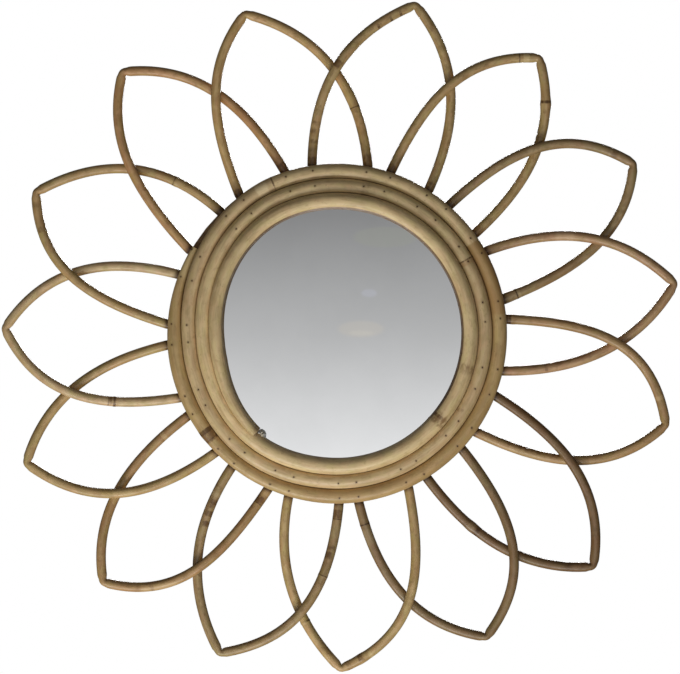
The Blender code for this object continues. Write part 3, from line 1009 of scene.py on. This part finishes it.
@dataclass
class Nails:
    """Small nails through the coil into the petals' ends, one row on each of two turns."""

    head_r: float = 0.00078
    head_h: float = 0.00028
    rows: tuple[tuple[str, int, float], ...] = (("nails_outer_row", 3, 0.0018), ("nails_middle_row", 2, 0.0012))

    def places(self, coil: Coil, angles: list[float]) -> dict[str, list[Nail]]:
        """Where the nails of each row sit.

        Args:
            coil: the coil that they go through.
            angles: bearings of the canes under it.

        Returns:
            The nails by the name of their row.
        """
        chance = random.Random(7)
        found = {}
        for name, turn, outward in self.rows:
            found[name] = []
            for angle in angles:
                at = angle + chance.uniform(-0.5, 0.5)
                cane = coil.at(coil.along_of(turn, at))
                off = outward + chance.uniform(-0.0008, 0.0008)
                rise = math.sqrt(max(cane.depth ** 2 - off ** 2, 0.0))
                normal = (polar(1.0, at) * off - Y_AXIS * rise).normalized()
                found[name].append(Nail(cane.centre + normal * (cane.depth - 0.00012), normal))
        return found

    def build(self, places: dict[str, list[Nail]]) -> list[bpy.types.Object]:
        """Make both rows of nails.

        Args:
            places: the nails by the name of their row.

        Returns:
            One object for each row.
        """
        finish = NailFinish().material("nail_steel")
        pieces = []
        for name, nails in places.items():
            mesh = bmesh.new()
            for nail in nails:
                turned = Matrix.Translation(nail.place) @ nail.normal.to_track_quat("Z", "Y").to_matrix().to_4x4()
                made = bmesh.ops.create_cone(
                    mesh, cap_ends=True, segments=10, radius1=self.head_r, radius2=self.head_r * 0.72,
                    depth=self.head_h * 2.0, matrix=turned)
                for vert in made["verts"]:
                    for face in vert.link_faces:
                        face.smooth = len(face.verts) == 4
            pieces.append(finish_piece(name, mesh, finish))
        return pieces


@dataclass
class GlueDab:
    """The dried dab of glue on the glass at the coil's inner end."""

    bearing_deg: float = 233.2
    radius: float = 0.1102
    half: tuple[float, float, float] = (0.0040, 0.0064, 0.0032)

    def build(self, glass_front: float) -> bpy.types.Object:
        """Make the dab as a lumpy flattened ball.

        Args:
            glass_front: depth of the glass's face.

        Returns:
            The dab's object.
        """
        mesh = bmesh.new()
        bmesh.ops.create_icosphere(mesh, subdivisions=4, radius=1.0)
        middle = polar(self.radius, self.bearing_deg, glass_front + self.half[1] * 0.8)
        for vert in mesh.verts:
            coarse = noise.noise(vert.co * 1.7 + Vector((4.0, 1.0, 2.0)))
            lump = 1.0 + 0.35 * coarse + 0.15 * noise.noise(vert.co * 4.3)
            vert.co = vert.co * Vector(self.half) * lump
        turn = Matrix.Rotation(math.radians(self.bearing_deg - 90.0), 4, "Y").inverted()
        bmesh.ops.transform(mesh, matrix=Matrix.Translation(middle) @ turn, verts=mesh.verts[:])
        for face in mesh.faces:
            face.smooth = True
        return finish_piece("glue_dab", mesh, GlueFinish().material("dried_glue"))


@dataclass(frozen=True)
class Spot:
    """One faint oval on the reflected card: its middle, half sizes, colour and strength."""

    place: tuple[float, float]
    half: tuple[float, float]
    color: Rgb
    strength: float


@dataclass
class Studio:
    """The pale floor, the white surround, the soft lights, the reflected card and the camera."""

    distance: float = 2.0
    framed_depth: float = 0.0095
    frame_w: float = 0.6032
    centre: tuple[float, float] = (2.6e-3, -3.0e-3)
    floor_z: float = -1.7
    roll_deg: float = -0.16
    spots: tuple[Spot, ...] = (
        Spot((0.0490, 0.0147), (0.0560, 0.0200), (200, 194, 184), 0.45),
        Spot((0.0490, 0.0060), (0.0300, 0.0060), (214, 209, 196), 0.30),
        Spot((0.1021, 0.2180), (0.0780, 0.0250), (158, 160, 146), 0.30),
        Spot((0.0667, 0.0942), (0.0190, 0.0095), (190, 192, 204), 0.35))

    def card(self, name: str, width: float, height: float, place: Vector,
             stops: list[tuple[float, Rgb]]) -> bpy.types.Object:
        """A glowing upright card behind the camera, seen only by reflection.

        Args:
            name: its name.
            width: its width.
            height: its height.
            place: its middle.
            stops: colours up the card, each at a share of its height.

        Returns:
            The card's object.
        """
        mesh = bmesh.new()
        bmesh.ops.create_grid(mesh, x_segments=1, y_segments=1, size=0.5)
        turn = Matrix.Rotation(math.radians(90.0), 4, "X")
        size = Matrix.Diagonal((width, height, 1.0, 1.0))
        bmesh.ops.transform(mesh, matrix=Matrix.Translation(place) @ turn @ size, verts=mesh.verts[:])
        material = bpy.data.materials.new(name)
        nodes = Nodes(material)
        nodes.tree.nodes.remove(nodes.shader)
        glow = nodes.tree.nodes.new("ShaderNodeEmission")
        split = nodes.tree.nodes.new("ShaderNodeSeparateXYZ")
        nodes.link(nodes.object_coordinates(), split.inputs[0])
        share = nodes.tree.nodes.new("ShaderNodeMapRange")
        share.inputs["From Min"].default_value = place.z - height / 2.0
        share.inputs["From Max"].default_value = place.z + height / 2.0
        nodes.link(split.outputs["Z"], share.inputs["Value"])
        ramp = nodes.tree.nodes.new("ShaderNodeValToRGB")
        ramp.color_ramp.interpolation = "LINEAR"
        while len(ramp.color_ramp.elements) < len(stops):
            ramp.color_ramp.elements.new(0.5)
        for element, (at, color) in zip(ramp.color_ramp.elements, stops):
            element.position = at
            element.color = (*linear(color), 1.0)
        nodes.link(share.outputs["Result"], ramp.inputs["Fac"])
        color = ramp.outputs["Color"]
        for spot in self.spots:
            centred = nodes.tree.nodes.new("ShaderNodeMapping")
            centred.vector_type = "TEXTURE"
            centred.inputs["Location"].default_value = (spot.place[0], place.y, spot.place[1])
            centred.inputs["Scale"].default_value = (spot.half[0], 1.0, spot.half[1])
            nodes.link(nodes.object_coordinates(), centred.inputs["Vector"])
            reach = nodes.tree.nodes.new("ShaderNodeVectorMath")
            reach.operation = "LENGTH"
            nodes.link(centred.outputs["Vector"], reach.inputs[0])
            inside = nodes.remap(reach.outputs["Value"], 1.0, 0.8, 0.0, spot.strength)
            color = nodes.blend(inside, color, linear(spot.color))
        nodes.link(color, glow.inputs["Color"])
        nodes.link(glow.outputs[0], nodes.output.inputs["Surface"])
        piece = finish_piece(name, mesh, material)
        piece.visible_camera = False
        piece.visible_shadow = False
        return piece

    def build(self) -> None:
        """Make the whole studio."""
        self.make_floor()
        self.make_cards()
        self.make_world()
        self.make_lights()
        self.make_camera()

    def make_floor(self) -> None:
        """Lay the pale floor, which throws no light of its own on the mirror."""
        mesh = bmesh.new()
        level = Matrix.Translation((0.0, 0.0, self.floor_z))
        bmesh.ops.create_grid(mesh, x_segments=1, y_segments=1, size=4.0, matrix=level)
        material = bpy.data.materials.new("studio_floor")
        nodes = Nodes(material)
        cloud = nodes.noise(nodes.stretch(nodes.object_coordinates(), (0.6, 0.6, 0.6)), 2.0)
        pale = nodes.blend(nodes.remap(cloud, 0.3, 0.7), (0.80, 0.80, 0.80), (0.84, 0.84, 0.84))
        nodes.link(pale, nodes.shader.inputs["Base Color"])
        nodes.shader.inputs["Roughness"].default_value = 0.9
        nodes.shader.inputs["Emission Color"].default_value = (1.0, 1.0, 1.0, 1.0)
        nodes.shader.inputs["Emission Strength"].default_value = 0.5
        floor = finish_piece("studio_floor", mesh, material)
        floor.visible_diffuse = False
        floor.visible_glossy = False

    def make_cards(self) -> None:
        """Stand up the card that the glass reflects, behind the camera."""
        back = -(self.distance + 1.0)
        stops = [(0.0, (240, 240, 240)), (0.42, (235, 235, 235)), (0.5, (187, 187, 187)), (0.58, (138, 138, 138)),
                 (1.0, (88, 88, 88))]
        self.card("studio_card", 4.0, 3.4, Vector((0.0, back, 0.0)), stops)

    def make_world(self) -> None:
        """White to the camera, and a dim room to everything else."""
        world = bpy.data.worlds.new("studio_world")
        bpy.context.scene.world = world
        world.use_nodes = True
        tree = world.node_tree
        tree.nodes.clear()
        output = tree.nodes.new("ShaderNodeOutputWorld")
        choose = tree.nodes.new("ShaderNodeMixShader")
        path = tree.nodes.new("ShaderNodeLightPath")
        room = tree.nodes.new("ShaderNodeBackground")
        room.inputs["Color"].default_value = (0.96, 0.98, 1.0, 1.0)
        room.inputs["Strength"].default_value = 0.03
        white = tree.nodes.new("ShaderNodeBackground")
        white.inputs["Color"].default_value = (1.0, 1.0, 1.0, 1.0)
        white.inputs["Strength"].default_value = 1.0
        tree.links.new(path.outputs["Is Camera Ray"], choose.inputs[0])
        tree.links.new(room.outputs[0], choose.inputs[1])
        tree.links.new(white.outputs[0], choose.inputs[2])
        tree.links.new(choose.outputs[0], output.inputs["Surface"])

    def light(self, name: str, place: Vector, aim: Vector, size: tuple[float, float],
              power: float, color: Rgb) -> None:
        """Hang one rectangular soft light.

        Args:
            name: its name.
            place: where it hangs.
            aim: where it points.
            size: its width and height.
            power: its power in watts.
            color: its colour.
        """
        data = bpy.data.lights.new(name, "AREA")
        data.shape = "RECTANGLE"
        data.size, data.size_y = size
        data.energy = power
        data.color = color
        lamp = bpy.data.objects.new(name, data)
        lamp.location = place
        lamp.rotation_mode = "QUATERNION"
        lamp.rotation_quaternion = (aim - place).to_track_quat("-Z", "Y")
        bpy.context.scene.collection.objects.link(lamp)

    def make_lights(self) -> None:
        """A broad soft light from below the front, a weak one from above, and a wide one for the back."""
        aim = Vector((0.0, 0.0, 0.0))
        self.light("light_low", Vector((-0.30, -0.78, -1.20)), aim, (1.5, 0.5), 15.0, (1.0, 0.985, 0.965))
        self.light("light_back", Vector((0.2, 2.3, 0.6)), aim, (1.0, 0.8), 45.0, (1.0, 0.99, 0.98))
        self.light("light_high", Vector((-0.3, -1.6, 1.5)), aim, (1.4, 0.8), 0.6, (0.97, 0.98, 1.0))

    def make_camera(self) -> None:
        """Stand the camera straight in front."""
        data = bpy.data.cameras.new("camera")
        data.sensor_width = 36.0
        data.lens = data.sensor_width * (self.distance - self.framed_depth) / self.frame_w
        camera = bpy.data.objects.new("camera", data)
        camera.location = Vector((self.centre[0], -self.distance, self.centre[1]))
        camera.rotation_euler = (math.radians(90.0), math.radians(self.roll_deg), 0.0)
        bpy.context.scene.collection.objects.link(camera)
        bpy.context.scene.camera = camera
        bpy.context.scene.view_settings.view_transform = "Standard"


@dataclass
class Mirror:
    """The whole mirror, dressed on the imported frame."""

    nodes: dict
    coil: Coil = field(default_factory=Coil)
    petals: Petals = field(default_factory=Petals)
    nails: Nails = field(default_factory=Nails)
    glue: GlueDab = field(default_factory=GlueDab)

    def adopt(self, piece: bpy.types.Object, replaced: Optional[str] = None) -> None:
        """Fix a piece on the frame, and report it."""
        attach(piece, "root")
        if replaced:
            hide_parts(replaced)
        LOG.info("%s: %d vertices, %d faces", piece.name, len(piece.data.vertices), len(piece.data.polygons))

    def repaint(self, node: str, material: bpy.types.Material) -> None:
        """Give a CAD node its finished material."""
        for slot in self.nodes[node].material_slots:
            slot.material = material
        LOG.info("%s: CAD node with a finished material", node)

    def build(self) -> None:
        """Dress every part of the mirror."""
        self.repaint("mirror_glass", GlassFinish().material("silvered_glass"))
        self.repaint("backing_board", BoardFinish().material("plain_plywood"))
        nails = self.nails.places(self.coil, self.petals.root_bearings())
        sites = [nail.place for row in nails.values() for nail in row]
        self.adopt(self.coil.build(sites), "coiled_ring")
        for index, piece in enumerate(self.petals.build()):
            self.adopt(piece, "petal_%02d" % (index + 1))
        for piece in self.nails.build(nails):
            self.adopt(piece)
        glass_front = -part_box("mirror_glass")[0].y
        self.adopt(self.glue.build(glass_front))


def main() -> None:
    """Load the frame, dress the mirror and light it."""
    logging.basicConfig(level=logging.INFO, format="%(name)s %(message)s")
    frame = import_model()
    Mirror(frame["nodes"]).build()
    Studio().build()
    bpy.context.view_layer.update()


if __name__ == "__main__":
    main()
